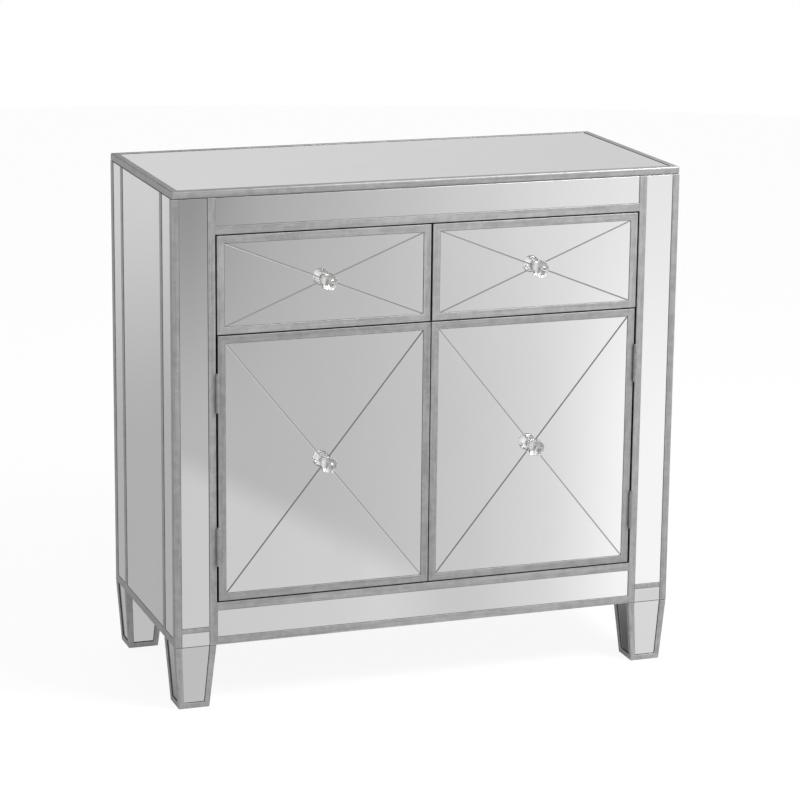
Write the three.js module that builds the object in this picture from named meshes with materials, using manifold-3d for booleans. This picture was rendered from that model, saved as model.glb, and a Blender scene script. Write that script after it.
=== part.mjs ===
// A mirrored accent cabinet: a silver-painted case on four tapered legs, with two drawers over two
// doors and mirror glass let into every outside face. Millimetres, +Z up, and the front faces -Y.
import * as THREE from "three";
import { RoundedBoxGeometry } from "three/addons/geometries/RoundedBoxGeometry.js";
import { mergeVertices } from "three/addons/utils/BufferGeometryUtils.js";
import Module from "manifold-3d";

const wasm = await Module();
wasm.setup();

// ---------------------------------------------------------------- driving sizes

const WIDTH = 813;
const DEPTH = 366; // front face of the case to its back edge
const HEIGHT = 803;
const LEG_HEIGHT = 101;
const KNOB_REACH = 31; // how far a knob stands in front of the case

const OPENING_WIDTH = 681.4; // between the two posts
const BOTTOM_RAIL_HEIGHT = 67;
const DOOR_HEIGHT = 411.9;
const DRAWER_HEIGHT = 149.4;
const FACE_WIDTH = 336.4; // doors and drawer fronts are the same width
const FACE_GAP = 2.2; // above and below the doors and drawer fronts
const DOOR_MEETING_GAP = 1.6; // between the two doors
const DRAWER_MEETING_GAP = 3.3; // between the two drawer fronts

const TOP_THICKNESS = 11.8;
const SIDE_THICKNESS = 10.5;
const FRAME_THICKNESS = 20; // posts and rails, front to back
const FACE_THICKNESS = 18; // door and drawer fronts, front to back
const BOARD_THICKNESS = 12; // boards inside the case
const BACK_THICKNESS = 6;

const BORDER = 11.4; // painted border left round a mirror
const GLASS_THICKNESS = 3;
const GLASS_BED = 0.2; // adhesive behind the glass
const GLASS_REVEAL = 0.9; // how far the paint stands proud of the glass
const GLASS_CLEARANCE = 0.25; // gap round the edge of the glass
const POCKET_DEPTH = GLASS_THICKNESS + GLASS_BED + GLASS_REVEAL;

const SEAM = 0.2; // clearance between pieces that are glued or screwed together
const LEG_SEAM = 0.6; // open line between the case and a leg
const CUT_PAST = 5; // how far a cutter runs past what it cuts

// ---------------------------------------------------------------- levels and lines of the case

const halfWidth = WIDTH / 2;
const caseBottom = LEG_HEIGHT;
const topUnderside = HEIGHT - TOP_THICKNESS;
const sideInner = halfWidth - SIDE_THICKNESS; // inner face of a side board
const postInner = OPENING_WIDTH / 2;
const postOuter = sideInner - SEAM;

const bottomRailTop = caseBottom + BOTTOM_RAIL_HEIGHT;
const doorBottom = bottomRailTop + FACE_GAP;
const doorTop = doorBottom + DOOR_HEIGHT;
const drawerBottom = doorTop + FACE_GAP;
const drawerTop = drawerBottom + DRAWER_HEIGHT;
const topRailBottom = drawerTop + FACE_GAP;

const deckTop = drawerBottom + 5.7; // the deck lies behind the lower edge of the drawer fronts
const deckThickness = 14;
const shelfTop = doorBottom + DOOR_HEIGHT / 2 + 4.85; // a little above the middle of the doors
const insideFront = FRAME_THICKNESS + SEAM; // boards inside start behind the posts and rails
const backInset = 1; // the back panel sits this far inside the back edges
const backFront = DEPTH - backInset - BACK_THICKNESS;
const insideBack = backFront - SEAM;

const doorCentre = (DOOR_MEETING_GAP + FACE_WIDTH) / 2;
const drawerCentre = (DRAWER_MEETING_GAP + FACE_WIDTH) / 2;

// ---------------------------------------------------------------- materials

const silverPaint = new THREE.MeshStandardMaterial({ color: 0x9fa0a2, roughness: 0.45, metalness: 0.5 });
const mirrorGlass = new THREE.MeshStandardMaterial({ color: 0xd9dcdd, roughness: 0.05, metalness: 1 });
const insidePaint = new THREE.MeshStandardMaterial({ color: 0x8d8e90, roughness: 0.6, metalness: 0.2 });
const paleWood = new THREE.MeshStandardMaterial({ color: 0xcdb48c, roughness: 0.65, metalness: 0 });
const hardboard = new THREE.MeshStandardMaterial({ color: 0x7f7f80, roughness: 0.75, metalness: 0 });
const crystal = new THREE.MeshStandardMaterial({ color: 0xe9eef0, roughness: 0.03, metalness: 0 });
const hingeSteel = new THREE.MeshStandardMaterial({ color: 0x97989b, roughness: 0.4, metalness: 0.8 });
const catchPlastic = new THREE.MeshStandardMaterial({ color: 0xe4e3de, roughness: 0.5, metalness: 0 });

// ---------------------------------------------------------------- small tools

// A block between two values on each axis.
function block([x0, x1], [y0, y1], [z0, z1]) {
  const geometry = new THREE.BoxGeometry(x1 - x0, y1 - y0, z1 - z0);
  return geometry.translate((x0 + x1) / 2, (y0 + y1) / 2, (z0 + z1) / 2);
}

// The same span on the left (side -1) or the right (side 1), low value first.
function onSide(side, inner, outer) {
  return side < 0 ? [-outer, -inner] : [inner, outer];
}

function toSolid(geometry) {
  const bare = geometry.clone();
  bare.deleteAttribute("normal");
  bare.deleteAttribute("uv");
  const merged = mergeVertices(bare);
  return new wasm.Manifold(
    new wasm.Mesh({
      numProp: 3,
      vertProperties: merged.attributes.position.array,
      triVerts: new Uint32Array(merged.index.array),
    }),
  );
}

function toGeometry(solid) {
  const mesh = solid.getMesh();
  const indexed = new THREE.BufferGeometry();
  indexed.setAttribute("position", new THREE.BufferAttribute(mesh.vertProperties, 3));
  indexed.setIndex(new THREE.BufferAttribute(mesh.triVerts, 1));
  const flat = indexed.toNonIndexed();
  flat.computeVertexNormals();
  return flat;
}

function cut(base, ...cutters) {
  return toGeometry(cutters.reduce((solid, cutter) => solid.subtract(toSolid(cutter)), toSolid(base)));
}

function join(...pieces) {
  return toGeometry(pieces.map(toSolid).reduce((solid, piece) => solid.add(piece)));
}

function addMesh(parent, name, geometry, material) {
  const mesh = new THREE.Mesh(geometry, material);
  mesh.name = name;
  parent.add(mesh);
  return mesh;
}

function sideName(side) {
  return side < 0 ? "left" : "right";
}

// ---------------------------------------------------------------- top

function makeTop(parent) {
  const mirrorX = [-halfWidth + BORDER, halfWidth - BORDER];
  const mirrorY = [BORDER, DEPTH - BORDER];
  const arris = 2.4; // radius of the rounded outside edges
  const arrisSteps = 2;
  const slab = new RoundedBoxGeometry(WIDTH, DEPTH, TOP_THICKNESS, arrisSteps, arris);
  slab.translate(0, DEPTH / 2, HEIGHT - TOP_THICKNESS / 2);
  const pocket = block(mirrorX, mirrorY, [HEIGHT - POCKET_DEPTH, HEIGHT + CUT_PAST]);
  addMesh(parent, "top_board", cut(slab, pocket), silverPaint);

  const glass = block(
    [mirrorX[0] + GLASS_CLEARANCE, mirrorX[1] - GLASS_CLEARANCE],
    [mirrorY[0] + GLASS_CLEARANCE, mirrorY[1] - GLASS_CLEARANCE],
    [HEIGHT - POCKET_DEPTH + GLASS_BED, HEIGHT - GLASS_REVEAL],
  );
  addMesh(parent, "top_mirror", glass, mirrorGlass);
}

// ---------------------------------------------------------------- sides

const lowBand = 12.2; // painted band along the bottom of the sides and of the bottom rail
const sideBorder = 13.5; // painted edge along the front and the back of a side
const sideMullion = 66; // front or back edge to the middle of an upright between two mirrors

// Where the three mirrors of a side lie from front to back, narrow, wide and narrow.
const sideMirrors = {
  front: [sideBorder, sideMullion - BORDER / 2],
  middle: [sideMullion + BORDER / 2, DEPTH - sideMullion - BORDER / 2],
  back: [DEPTH - sideMullion + BORDER / 2, DEPTH - sideBorder],
};

function makeSide(parent, side) {
  const top = topUnderside - SEAM;
  const mirrorBottom = caseBottom + lowBand;
  const board = block(onSide(side, sideInner, halfWidth), [0, DEPTH], [caseBottom, top]);
  const pockets = Object.values(sideMirrors).map((span) =>
    block(
      onSide(side, halfWidth - POCKET_DEPTH, halfWidth + CUT_PAST),
      span,
      [mirrorBottom, top + CUT_PAST],
    ),
  );
  addMesh(parent, `side_board_${sideName(side)}`, cut(board, ...pockets), silverPaint);

  const glassInner = halfWidth - POCKET_DEPTH + GLASS_BED;
  const glassX = onSide(side, glassInner, glassInner + GLASS_THICKNESS);
  for (const [place, [front, back]] of Object.entries(sideMirrors)) {
    const glass = block(
      glassX,
      [front + GLASS_CLEARANCE, back - GLASS_CLEARANCE],
      [mirrorBottom + GLASS_CLEARANCE, top - GLASS_CLEARANCE],
    );
    addMesh(parent, `side_mirror_${place}_${sideName(side)}`, glass, mirrorGlass);
  }
}

// ---------------------------------------------------------------- front posts and rails

const glassFront = GLASS_REVEAL;
const glassBack = GLASS_REVEAL + GLASS_THICKNESS;

// A post is a stile whose rebate takes two mirrors, with a thin painted bar between them.
function makePost(parent, side) {
  const innerBorder = 11;
  const barBottom = caseBottom + 22.4;
  const barTop = barBottom + 7;
  const barSetBack = 0.3; // the bar lies a little behind the face of the post
  const top = topUnderside - SEAM;
  const rebate = onSide(side, postInner + innerBorder, postOuter + CUT_PAST);
  const stile = block(onSide(side, postInner, postOuter), [0, FRAME_THICKNESS], [caseBottom, top]);
  const upper = block(rebate, [-CUT_PAST, POCKET_DEPTH], [barTop, top + CUT_PAST]);
  const lower = block(rebate, [-CUT_PAST, POCKET_DEPTH], [caseBottom - CUT_PAST, barBottom]);
  const bar = block(rebate, [-CUT_PAST, barSetBack], [caseBottom - CUT_PAST, top + CUT_PAST]);
  addMesh(parent, `post_${sideName(side)}`, cut(stile, upper, lower, bar), silverPaint);

  const glassX = onSide(side, postInner + innerBorder + GLASS_CLEARANCE, postOuter - GLASS_CLEARANCE);
  const glassY = [glassFront, glassBack];
  const upperGlass = block(glassX, glassY, [barTop + GLASS_CLEARANCE, top - GLASS_CLEARANCE]);
  const lowerGlass = block(glassX, glassY, [caseBottom, barBottom - GLASS_CLEARANCE]);
  addMesh(parent, `post_mirror_upper_${sideName(side)}`, upperGlass, mirrorGlass);
  addMesh(parent, `post_mirror_lower_${sideName(side)}`, lowerGlass, mirrorGlass);
}

// A rail between the posts, with one long mirror between mirrorBottom and mirrorTop.
function makeRail(parent, name, [bottom, top], [mirrorBottom, mirrorTop]) {
  const endBorder = 0.8; // the mirror all but fills the length of the rail
  const railX = [-postInner + SEAM, postInner - SEAM];
  const mirrorX = [railX[0] + endBorder, railX[1] - endBorder];
  const rail = block(railX, [0, FRAME_THICKNESS], [bottom, top]);
  const pocket = block(mirrorX, [-CUT_PAST, POCKET_DEPTH], [mirrorBottom, mirrorTop]);
  addMesh(parent, name, cut(rail, pocket), silverPaint);

  const glass = block(
    [mirrorX[0] + GLASS_CLEARANCE, mirrorX[1] - GLASS_CLEARANCE],
    [glassFront, glassBack],
    [mirrorBottom + GLASS_CLEARANCE, Math.min(mirrorTop, top) - GLASS_CLEARANCE],
  );
  addMesh(parent, `${name}_mirror`, glass, mirrorGlass);
}

// The top rail's mirror runs up under the top board, and the bottom rail's has paint above and below.
function makeRails(parent) {
  const railBorder = 12.3; // painted edge next to the drawers and doors
  const topRailTop = topUnderside - SEAM;
  makeRail(
    parent,
    "top_rail",
    [topRailBottom, topRailTop],
    [topRailBottom + railBorder, topRailTop + CUT_PAST],
  );
  makeRail(
    parent,
    "bottom_rail",
    [caseBottom, bottomRailTop],
    [caseBottom + lowBand, bottomRailTop - railBorder],
  );
}

// ---------------------------------------------------------------- boards inside the case

function makeInside(parent) {
  const wide = [-postOuter, postOuter];
  const insideDepth = [insideFront, insideBack];
  const bottomTop = bottomRailTop - SEAM;
  const bottom = block(wide, insideDepth, [bottomTop - BOARD_THICKNESS, bottomTop]);
  addMesh(parent, "bottom_board", bottom, insidePaint);

  const deck = block(wide, insideDepth, [deckTop - deckThickness, deckTop]);
  addMesh(parent, "drawer_deck", deck, insidePaint);

  const shelfClearance = 1;
  const shelfFront = 42;
  const shelf = block(
    [-sideInner + shelfClearance, sideInner - shelfClearance],
    [shelfFront, insideBack],
    [shelfTop - BOARD_THICKNESS, shelfTop],
  );
  addMesh(parent, "shelf", shelf, insidePaint);

  const upright = [deckTop + SEAM, topUnderside - SEAM];
  const divider = block([-BOARD_THICKNESS / 2, BOARD_THICKNESS / 2], insideDepth, upright);
  addMesh(parent, "drawer_divider", divider, insidePaint);
  // A guide leaves the same running gap beside the drawer as the divider does on its other side.
  const guideInner = 2 * drawerCentre - BOARD_THICKNESS / 2;
  for (const side of [-1, 1]) {
    const guideX = onSide(side, guideInner, postInner + BOARD_THICKNESS);
    const guide = block(guideX, insideDepth, upright);
    addMesh(parent, `drawer_guide_${sideName(side)}`, guide, insidePaint);
  }

  const backY = [backFront, backFront + BACK_THICKNESS];
  const back = block(wide, backY, [caseBottom, topUnderside - SEAM]);
  addMesh(parent, "back_panel", back, hardboard);

  const catchWidth = 42;
  const catchSection = 12; // both its height and its depth
  const catchFront = insideFront + 1;
  const catchTop = deckTop - deckThickness - SEAM;
  const doorCatch = block(
    [-catchWidth / 2, catchWidth / 2],
    [catchFront, catchFront + catchSection],
    [catchTop - catchSection, catchTop],
  );
  addMesh(parent, "door_catch", doorCatch, catchPlastic);
}

// ---------------------------------------------------------------- legs

const legTopWidth = 65;
const legOuterTaper = 6.6; // how far the two outside faces draw in at the foot
const legInnerTaper = 10; // how far the two inside faces draw in at the foot

// A leg stands under a corner; its square upper stub is glued inside the case up to the bottom board.
function makeLeg(parent, side, end) {
  const top = LEG_HEIGHT - LEG_SEAM;
  const foot = new THREE.BoxGeometry(legTopWidth, legTopWidth, top);
  foot.translate(legTopWidth / 2, legTopWidth / 2, top / 2);
  const points = foot.attributes.position;
  for (let i = 0; i < points.count; i++) {
    if (points.getZ(i) > top / 2) continue;
    const draw = (value) => (value > legTopWidth / 2 ? legTopWidth - legInnerTaper : legOuterTaper);
    points.setXY(i, draw(points.getX(i)), draw(points.getY(i)));
  }
  const stubClearance = 0.5;
  const stubShoulder = 1; // the stub is this much smaller than the leg on its inner faces
  const stubTop = bottomRailTop - BOARD_THICKNESS - 2 * SEAM;
  const stubSpan = [FRAME_THICKNESS + stubClearance, legTopWidth - stubShoulder];
  const stub = block(stubSpan, stubSpan, [top - CUT_PAST, stubTop]);

  const leg = addMesh(
    parent,
    `leg_${end < 0 ? "front" : "back"}_${sideName(side)}`,
    join(foot, stub),
    silverPaint,
  );
  // The leg is drawn for the front left corner and turned a quarter for each of the others.
  leg.position.set(side * halfWidth, end < 0 ? 0 : DEPTH, 0);
  if (side < 0) leg.rotation.z = end < 0 ? 0 : -Math.PI / 2;
  else leg.rotation.z = end < 0 ? Math.PI / 2 : Math.PI;
}

// ---------------------------------------------------------------- drawer and door fronts

// A mirror with two V grooves that cross from corner to corner, standing in the XZ plane.
function crossGroovedGlass(width, height) {
  const grooveHalfWidth = 1.2;
  const grooveDepth = 0.4;
  const glass = block([-width / 2, width / 2], [glassFront, glassBack], [-height / 2, height / 2]);
  // The cutter is a wedge that runs on out of the glass at the same slope.
  const profile = new THREE.Shape();
  profile.moveTo(-2 * grooveHalfWidth, -grooveDepth);
  profile.lineTo(2 * grooveHalfWidth, -grooveDepth);
  profile.lineTo(0, grooveDepth);
  profile.closePath();
  const length = Math.hypot(width, height) + 2 * CUT_PAST;
  const slope = Math.atan2(height, width);
  const grooves = [slope, -slope].map((turn) => {
    const groove = new THREE.ExtrudeGeometry(profile, { depth: length, bevelEnabled: false });
    groove.translate(0, 0, -length / 2);
    groove.rotateY(Math.PI / 2 - turn);
    return groove.translate(0, glassFront, 0);
  });
  return cut(glass, ...grooves);
}

// A board with a mirror let into its front, both centred on x = 0 and z = 0.
function makeFace(parent, name, height) {
  const mirrorWidth = FACE_WIDTH - 2 * BORDER;
  const mirrorHeight = height - 2 * BORDER;
  const board = block([-FACE_WIDTH / 2, FACE_WIDTH / 2], [0, FACE_THICKNESS], [-height / 2, height / 2]);
  const pocket = block(
    [-mirrorWidth / 2, mirrorWidth / 2],
    [-CUT_PAST, POCKET_DEPTH],
    [-mirrorHeight / 2, mirrorHeight / 2],
  );
  addMesh(parent, name, cut(board, pocket), silverPaint);

  const glass = crossGroovedGlass(mirrorWidth - 2 * GLASS_CLEARANCE, mirrorHeight - 2 * GLASS_CLEARANCE);
  addMesh(parent, `${name}_mirror`, glass, mirrorGlass);
}

// A faceted crystal knob on a round metal foot, standing out from the middle of a mirror.
function makeKnob(parent, name) {
  const tip = KNOB_REACH + GLASS_REVEAL - SEAM;
  const girdle = 13.2; // largest radius of the crystal
  const cup = 11.5; // reach of the cup that holds the crystal
  // Outlines as [radius, distance out from the mirror].
  const footProfile = [
    [0, 0],
    [9, 0],
    [9, 1.4],
    [5, 3.4],
    [4.4, 8.5],
    [7.6, cup],
    [0, cup],
  ];
  const crystalProfile = [
    [0, cup - 2],
    [6.4, cup - 2],
    [girdle - 1.2, 17],
    [girdle, 20],
    [girdle - 0.8, 24],
    [9, 28.5],
    [5, tip],
    [0, tip],
  ];
  const turn = (profile, facets) =>
    new THREE.LatheGeometry(
      profile.map(([radius, reach]) => new THREE.Vector2(radius, reach)),
      facets,
    );
  const footFacets = 20;
  const crystalFacets = 10;
  const shape = join(turn(footProfile, footFacets), turn(crystalProfile, crystalFacets));
  const knob = addMesh(parent, name, shape, crystal);
  knob.rotation.x = Math.PI;
  knob.position.y = glassFront - SEAM;
}

// ---------------------------------------------------------------- drawers

const drawerBox = {
  halfWidth: 162.5,
  wall: 12,
  back: 318, // outside of the drawer's back, from the front of the case
  runner: 0.8, // clearance under the walls, which run on the deck
  sideTop: drawerTop - 26.7,
  backDrop: 4, // the back is this much lower than the walls
  bottomLevel: deckTop + 7,
  bottomThickness: 5,
  groove: 4, // how far the bottom enters the walls
};

function makeDrawer(parent, side) {
  const name = `drawer_${sideName(side)}`;
  const height = drawerTop - drawerBottom;
  const drawer = new THREE.Group();
  drawer.position.set(side * drawerCentre, 0, (drawerTop + drawerBottom) / 2);
  parent.add(drawer);
  makeFace(drawer, `${name}_front`, height);
  makeKnob(drawer, `${name}_knob`);

  const box = new THREE.Group(); // works in the heights of the case
  box.position.z = -drawer.position.z;
  drawer.add(box);
  const wallFront = FACE_THICKNESS + SEAM;
  const wallBottom = deckTop + drawerBox.runner;
  const inner = drawerBox.halfWidth - drawerBox.wall;
  const floorX = [-inner - drawerBox.groove, inner + drawerBox.groove];
  const floorZ = [drawerBox.bottomLevel, drawerBox.bottomLevel + drawerBox.bottomThickness];
  const grooveCut = block(
    [floorX[0] - SEAM, floorX[1] + SEAM],
    [0, DEPTH],
    [floorZ[0] - SEAM, floorZ[1] + SEAM],
  );
  for (const wallSide of [-1, 1]) {
    const wall = block(
      onSide(wallSide, inner, drawerBox.halfWidth),
      [wallFront, drawerBox.back],
      [wallBottom, drawerBox.sideTop],
    );
    addMesh(box, `${name}_wall_${sideName(wallSide)}`, cut(wall, grooveCut), paleWood);
  }
  const backWall = block(
    [-inner + SEAM, inner - SEAM],
    [drawerBox.back - drawerBox.wall, drawerBox.back],
    [floorZ[1] + SEAM, drawerBox.sideTop - drawerBox.backDrop],
  );
  addMesh(box, `${name}_back`, backWall, paleWood);
  const floor = block(floorX, [wallFront, drawerBox.back], floorZ);
  addMesh(box, `${name}_bottom`, floor, paleWood);
}

// ---------------------------------------------------------------- doors and hinges

function makeDoor(parent, side) {
  const name = `door_${sideName(side)}`;
  const door = new THREE.Group();
  door.position.set(side * doorCentre, 0, (doorTop + doorBottom) / 2);
  parent.add(door);
  makeFace(door, name, doorTop - doorBottom);
  makeKnob(door, `${name}_knob`);
}

const hinge = {
  length: 59,
  fromDoorEnd: 86.5, // door's top or bottom edge to the middle of a hinge
  knuckles: 5,
  knuckleGap: 0.3,
  barrelRadius: 2.8,
  barrelFacets: 20,
  pinRadius: 1.2,
  pinShort: 1, // the pin ends this far inside each end of the barrel
  pinClearance: 0.08,
  pinFront: 3.1, // how far the pin's axis lies in front of the case
  leafDepth: 16,
  leafThickness: 1.2,
  leafOffset: 0.4, // pin's axis to the near face of a leaf
  tabOverlap: 1, // how far a knuckle's tab runs into its leaf
};

// Cylinder about the hinge's own axis.
function barrel(radius, [bottom, top]) {
  const geometry = new THREE.CylinderGeometry(radius, radius, top - bottom, hinge.barrelFacets);
  geometry.rotateX(Math.PI / 2);
  return geometry.translate(0, 0, (bottom + top) / 2);
}

// One leaf with the knuckles it owns. outward is -1 or 1, the side of the axis the leaf lies on.
function hingeLeaf(outward, ownsKnuckle) {
  const pitch = hinge.length / hinge.knuckles;
  const leafFar = hinge.leafOffset + hinge.leafThickness;
  const half = hinge.length / 2;
  const pieces = [
    block(
      onSide(outward, hinge.leafOffset, leafFar),
      [hinge.pinFront, hinge.pinFront + hinge.leafDepth],
      [-half, half],
    ),
  ];
  for (let i = 0; i < hinge.knuckles; i++) {
    if (!ownsKnuckle(i)) continue;
    const bottom = -half + i * pitch + hinge.knuckleGap / 2;
    const span = [bottom, bottom + pitch - hinge.knuckleGap];
    const tabDepth = [0, hinge.pinFront + hinge.tabOverlap];
    pieces.push(barrel(hinge.barrelRadius, span));
    pieces.push(block(onSide(outward, hinge.leafOffset, leafFar), tabDepth, span));
  }
  return join(...pieces);
}

function makeHinge(parent, side, place, level) {
  const label = `${place}_${sideName(side)}`;
  const group = new THREE.Group();
  const doorEdge = doorCentre + FACE_WIDTH / 2;
  group.position.set((side * (doorEdge + postInner)) / 2, -hinge.pinFront, level);
  parent.add(group);

  const half = hinge.length / 2;
  const pin = barrel(hinge.pinRadius, [-half + hinge.pinShort, half - hinge.pinShort]);
  const postLeaf = join(
    hingeLeaf(side, (i) => i % 2 === 0),
    pin,
  );
  addMesh(group, `hinge_post_leaf_${label}`, postLeaf, hingeSteel);

  const bore = barrel(hinge.pinRadius + hinge.pinClearance, [-half - CUT_PAST, half + CUT_PAST]);
  const doorLeaf = cut(
    hingeLeaf(-side, (i) => i % 2 === 1),
    bore,
  );
  addMesh(group, `hinge_door_leaf_${label}`, doorLeaf, hingeSteel);
}

// ---------------------------------------------------------------- assembly

const cabinet = new THREE.Group();
cabinet.name = "mirrored_cabinet";
makeTop(cabinet);
makeRails(cabinet);
makeInside(cabinet);
for (const side of [-1, 1]) {
  makeSide(cabinet, side);
  makePost(cabinet, side);
  makeLeg(cabinet, side, -1);
  makeLeg(cabinet, side, 1);
  makeDrawer(cabinet, side);
  makeDoor(cabinet, side);
  makeHinge(cabinet, side, "upper", doorTop - hinge.fromDoorEnd);
  makeHinge(cabinet, side, "lower", doorBottom + hinge.fromDoorEnd);
}
// The origin is on the floor under the middle of the whole object, its knobs included.
cabinet.position.y = (KNOB_REACH - DEPTH) / 2;

export default cabinet;
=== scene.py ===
import math

import bmesh
import bpy
from mathutils import Euler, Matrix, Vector


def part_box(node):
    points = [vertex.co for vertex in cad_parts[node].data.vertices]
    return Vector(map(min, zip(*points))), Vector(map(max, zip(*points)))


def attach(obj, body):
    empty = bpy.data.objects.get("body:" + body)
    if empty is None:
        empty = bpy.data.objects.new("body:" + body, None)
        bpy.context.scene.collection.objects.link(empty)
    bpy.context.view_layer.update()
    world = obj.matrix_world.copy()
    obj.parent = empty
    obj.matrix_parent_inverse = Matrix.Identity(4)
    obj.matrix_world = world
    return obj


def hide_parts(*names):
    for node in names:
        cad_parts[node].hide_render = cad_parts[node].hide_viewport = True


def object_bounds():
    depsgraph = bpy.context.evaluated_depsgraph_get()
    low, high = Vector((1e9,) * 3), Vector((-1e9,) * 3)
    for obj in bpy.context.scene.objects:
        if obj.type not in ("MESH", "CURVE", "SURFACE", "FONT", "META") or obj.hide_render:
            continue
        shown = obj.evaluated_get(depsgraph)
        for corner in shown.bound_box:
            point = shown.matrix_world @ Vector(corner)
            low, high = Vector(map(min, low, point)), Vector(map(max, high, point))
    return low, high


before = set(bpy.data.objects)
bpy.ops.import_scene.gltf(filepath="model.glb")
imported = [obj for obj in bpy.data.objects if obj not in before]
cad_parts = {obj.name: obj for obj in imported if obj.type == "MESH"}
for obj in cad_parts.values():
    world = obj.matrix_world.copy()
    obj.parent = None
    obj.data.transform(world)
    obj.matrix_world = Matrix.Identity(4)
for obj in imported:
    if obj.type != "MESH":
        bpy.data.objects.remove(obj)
cad_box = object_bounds()

MM = 0.001
SIDES = ("left", "right")


# ---------------------------------------------------------------- node helpers


def feed(tree, socket, value):
    """Links a socket to another, or sets it to a plain value."""
    if isinstance(value, bpy.types.NodeSocket):
        tree.links.new(value, socket)
    else:
        socket.default_value = value


def node(tree, kind, settings=None, **inputs):
    """Adds a shader node. Inputs are named as on the node, with _ for a space."""
    made = tree.nodes.new("ShaderNode" + kind)
    for name, value in (settings or {}).items():
        setattr(made, name, value)
    for name, value in inputs.items():
        feed(tree, made.inputs[name.replace("_", " ")], value)
    return made


def calc(tree, operation, a, b=0.0):
    """One step of arithmetic on numbers."""
    made = node(tree, "Math", {"operation": operation})
    feed(tree, made.inputs[0], a)
    feed(tree, made.inputs[1], b)
    return made.outputs[0]


def vector_calc(tree, operation, a, b=(0, 0, 0)):
    """One step of arithmetic on vectors. A dot product gives a number."""
    made = node(tree, "VectorMath", {"operation": operation})
    feed(tree, made.inputs[0], a)
    feed(tree, made.inputs[1], b)
    return made.outputs["Value" if operation == "DOT_PRODUCT" else "Vector"]


def ramp(tree, value, start, end, low=0.0, high=1.0):
    """Goes smoothly from low to high as value goes from start to end."""
    made = node(
        tree,
        "MapRange",
        {"interpolation_type": "SMOOTHSTEP"},
        Value=value,
        From_Min=start,
        From_Max=end,
        To_Min=low,
        To_Max=high,
    )
    return made.outputs["Result"]


def mix(tree, share, a, b, kind="RGBA", blend="MIX"):
    """Mixes two colours, or two vectors with kind "VECTOR"."""
    made = node(tree, "Mix", {"data_type": kind, "blend_type": blend})
    first = {"RGBA": 6, "VECTOR": 4}[kind]
    feed(tree, made.inputs[0], share)
    feed(tree, made.inputs[first], a)
    feed(tree, made.inputs[first + 1], b)
    return made.outputs[{"RGBA": 2, "VECTOR": 1}[kind]]


def noise(tree, where, scale, detail=2.0, roughness=0.5):
    """Noise from 0 to 1, with scale features to the metre."""
    made = node(tree, "TexNoise", Vector=where, Scale=scale, Detail=detail, Roughness=roughness)
    return made.outputs["Factor" if "Factor" in made.outputs else "Fac"]


def bump(tree, height, depth, strength=1.0, onto=None):
    """Raises the surface by depth metres where height is 1."""
    made = node(tree, "Bump", Height=height, Distance=depth, Strength=strength)
    if onto is not None:
        feed(tree, made.inputs["Normal"], onto)
    return made.outputs["Normal"]


def grey(level):
    """An opaque grey."""
    return (level, level, level, 1)


def new_material(name, **sockets):
    """A material with its Principled shader and the object's own coordinates."""
    material = bpy.data.materials.new(name)
    material.use_nodes = True
    tree = material.node_tree
    shader = tree.nodes["Principled BSDF"]
    for socket, value in sockets.items():
        shader.inputs[socket.replace("_", " ")].default_value = value
    here = node(tree, "TexCoord").outputs["Object"]
    return material, tree, shader, here


# ---------------------------------------------------------------- materials


def along(tree, where, axis, squeeze=0.02):
    """Coordinates that stretch a texture out along one axis, as brush marks and grain are."""
    scale = [1.0, 1.0, 1.0]
    scale["xyz".index(axis)] = squeeze
    return vector_calc(tree, "MULTIPLY", where, scale)


def brushed_along(axis):
    """Marks for silver_paint that all run along one axis."""
    return lambda tree, where: along(tree, where, axis)


def from_edges(tree, where, box, axes):
    """How far inside a box a point lies, along each of the axes."""
    low, high = box
    parts = node(tree, "SeparateXYZ", Vector=where).outputs
    distances = []
    for i in ("xyz".index(axis) for axis in axes):
        middle, half = (low[i] + high[i]) / 2, (high[i] - low[i]) / 2
        from_middle = calc(tree, "ABSOLUTE", calc(tree, "SUBTRACT", parts[i], middle))
        distances.append(calc(tree, "SUBTRACT", half, from_middle))
    return distances


def depth_behind(tree, where, box, face):
    """How far a point lies behind the outward face of a box. face is (axis, direction)."""
    axis, outward = face
    i = "xyz".index(axis)
    here = node(tree, "SeparateXYZ", Vector=where).outputs[i]
    level = box[1][i] if outward > 0 else box[0][i]
    return calc(tree, "MULTIPLY", calc(tree, "SUBTRACT", level, here), outward)


def framed(tree, where, box, face, across, up):
    """Stretched coordinates for a mitred frame: each strip's marks run along its nearest edge. On
    the back, which is one plain board, they all run up."""
    beside = calc(tree, "LESS_THAN", *from_edges(tree, where, box, (across, up)))
    back = calc(tree, "GREATER_THAN", depth_behind(tree, where, box, face), 10 * MM)
    upright = calc(tree, "MAXIMUM", beside, back)
    return mix(tree, upright, along(tree, where, across), along(tree, where, up), "VECTOR")


def sunk(tree, where, box, face):
    """Painted-on shade: how dark the paint is in a mirror's pocket and on the edges beside a gap."""
    depth = depth_behind(tree, where, box, face)
    inside = calc(tree, "MINIMUM", *from_edges(tree, where, box, "xyz".replace(face[0], "")))
    under_face = ramp(tree, depth, 0.35 * MM, 0.7 * MM, 0, 0.8)
    pocket = calc(tree, "MULTIPLY", under_face, ramp(tree, inside, 1 * MM, 2 * MM))
    not_back = ramp(tree, depth, 6 * MM, 8 * MM, 1, 0)
    pocket = calc(tree, "MULTIPLY", pocket, not_back)
    if face[0] != "y":
        return pocket
    # Only the front has gaps: those round the drawers and doors.
    round_edge = ramp(tree, depth, 0.5 * MM, 3 * MM, 0, 0.6)
    gap = calc(tree, "MULTIPLY", round_edge, ramp(tree, inside, 0.3 * MM, 1 * MM, 1, 0))
    return calc(tree, "MAXIMUM", pocket, gap)


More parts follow.
